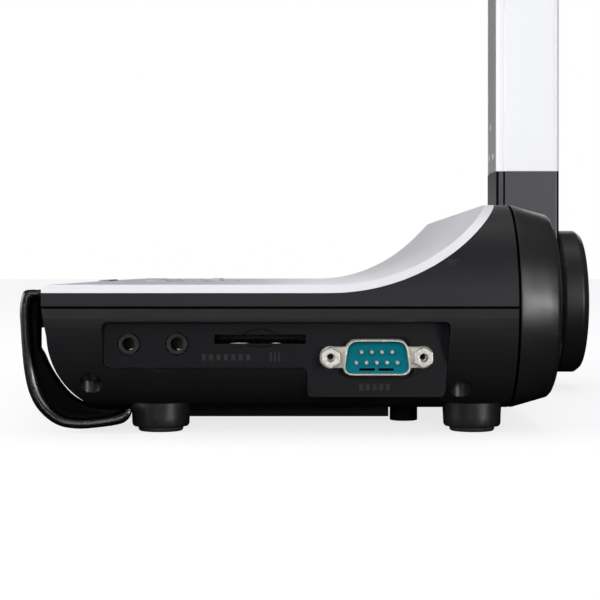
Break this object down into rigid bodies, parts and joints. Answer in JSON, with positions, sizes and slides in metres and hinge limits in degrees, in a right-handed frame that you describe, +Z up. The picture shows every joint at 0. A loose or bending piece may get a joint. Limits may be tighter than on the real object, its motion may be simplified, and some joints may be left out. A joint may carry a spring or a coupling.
{
  "type": "video magnifier",
  "caption": "Desk video magnifier: low base with ports, keys and pull-out carry handle, and a folding arm that holds a tilting camera head with focus ring and lamp.",
  "frame": {"origin": "on the table, under the middle of the part's bounding box", "axes": "+X towards the rear of the base, where the arm stands; +Y to the left of a person facing the front; +Z up"},
  "size_m": [0.2814, 0.252, 0.2785],
  "materials": {
    "case_black": "fine textured black",
    "band_black": "fine textured black",
    "panel_black": "satin black",
    "cover_white": "semi-gloss white",
    "arm_white": "satin white",
    "strip_grey": "satin grey",
    "sleeve_grey": "satin dark grey",
    "key_grey": "semi-gloss grey",
    "pad_rubber": "matt",
    "steel": "plated",
    "screw_black": "black oxide",
    "connector_metal": "bright tin plate",
    "contact_gold": "gold flash",
    "bronze": "sintered",
    "heat_metal": "anodised",
    "insert_teal": "moulded",
    "board_green": "solder mask",
    "chip_black": "matt",
    "smoke": "dark window",
    "led_smoke": "tinted",
    "lens": "coated",
    "lamp_diffuser": "frosted",
    "wire_black": "matt"
  },
  "bodies": {
    "base": {"lower_case": "case_black", "upper_case": "band_black", "top_cover": "cover_white", "rear_cap": "case_black", "port_panel": "panel_black", "far_panel": "panel_black", "foot_pads": "pad_rubber", "case_screws": "screw_black", "rail_guides": "case_black", "rail_stops": "case_black", "main_board": "board_green", "board_chips": "chip_black", "heat_sink": "heat_metal", "io_board": "board_green", "audio_jacks": "case_black", "jack_contacts": "contact_gold", "sd_socket": "connector_metal", "sd_contacts": "chip_black", "dsub_shell": "connector_metal", "dsub_insert": "insert_teal", "dsub_pins": "connector_metal", "jack_screws": "steel", "power_inlet": "case_black", "vga_socket": "connector_metal", "usb_socket": "connector_metal", "ir_window": "smoke", "led_windows": "led_smoke", "key_board": "board_green", "hub_bush": "bronze"},
    "handle": {"handle_grip": "case_black", "handle_rails": "steel"},
    "column": {"swing_shaft": "steel", "spring_washers": "steel", "swing_nut": "steel", "arm_foot": "sleeve_grey", "hub_disc": "case_black", "arm_tube": "arm_white", "arm_strip": "strip_grey", "arm_cable": "wire_black", "elbow_fork": "sleeve_grey", "elbow_pin": "steel", "elbow_caps": "case_black"},
    "reach": {"reach_knuckle": "sleeve_grey", "reach_tube": "arm_white", "reach_end": "sleeve_grey"},
    "head": {"head_lower": "cover_white", "head_upper": "strip_grey", "lens_barrel": "case_black", "lens_glass": "lens", "sensor_board": "board_green", "lamp_lens": "lamp_diffuser", "tilt_pin": "steel"},
    "focus": {"focus_ring": "case_black"},
    "key_ok": {"key_ok": "key_grey"},
    "key_back": {"key_back": "key_grey"},
    "key_power": {"key_power": "key_grey"},
    "key_menu": {"key_menu": "key_grey"},
    "key_source": {"key_source": "key_grey"},
    "key_freeze": {"key_freeze": "key_grey"},
    "key_light": {"key_light": "key_grey"}
  },
  "joints": [
    {"name": "handle_slide", "type": "slide", "parent": "base", "child": "handle", "axis": [-1, 0, 0], "range_m": [0, 0.045]},
    {"name": "column_swing", "type": "hinge", "parent": "base", "child": "column", "pos_m": [0.11935, 0.06, 0.0328], "axis": [1, 0, 0], "range_deg": [0, 90]},
    {"name": "elbow", "type": "hinge", "parent": "column", "child": "reach", "pos_m": [0.11935, 0.06, 0.262], "axis": [0, 1, 0], "range_deg": [-20, 50]},
    {"name": "head_tilt", "type": "hinge", "parent": "reach", "child": "head", "pos_m": [-0.06765, 0.06, 0.262], "axis": [0, 1, 0], "range_deg": [-50, 50]},
    {"name": "focus_turn", "type": "hinge", "parent": "head", "child": "focus", "pos_m": [-0.11665, 0.06, 0.239], "axis": [0, 0, 1], "range_deg": [-60, 60]},
    {"name": "key_ok_press", "type": "slide", "parent": "base", "child": "key_ok", "axis": [0, 0, -1], "range_m": [0, 0.0005], "stiffness_N_per_m": 600},
    {"name": "key_back_press", "type": "slide", "parent": "base", "child": "key_back", "axis": [0, 0, -1], "range_m": [0, 0.0005], "stiffness_N_per_m": 600},
    {"name": "key_power_press", "type": "slide", "parent": "base", "child": "key_power", "axis": [0, 0, -1], "range_m": [0, 0.0005], "stiffness_N_per_m": 600},
    {"name": "key_menu_press", "type": "slide", "parent": "base", "child": "key_menu", "axis": [0, 0, -1], "range_m": [0, 0.0005], "stiffness_N_per_m": 600},
    {"name": "key_source_press", "type": "slide", "parent": "base", "child": "key_source", "axis": [0, 0, -1], "range_m": [0, 0.0005], "stiffness_N_per_m": 600},
    {"name": "key_freeze_press", "type": "slide", "parent": "base", "child": "key_freeze", "axis": [0, 0, -1], "range_m": [0, 0.0005], "stiffness_N_per_m": 600},
    {"name": "key_light_press", "type": "slide", "parent": "base", "child": "key_light", "axis": [0, 0, -1], "range_m": [0, 0.0005], "stiffness_N_per_m": 600}
  ]
}
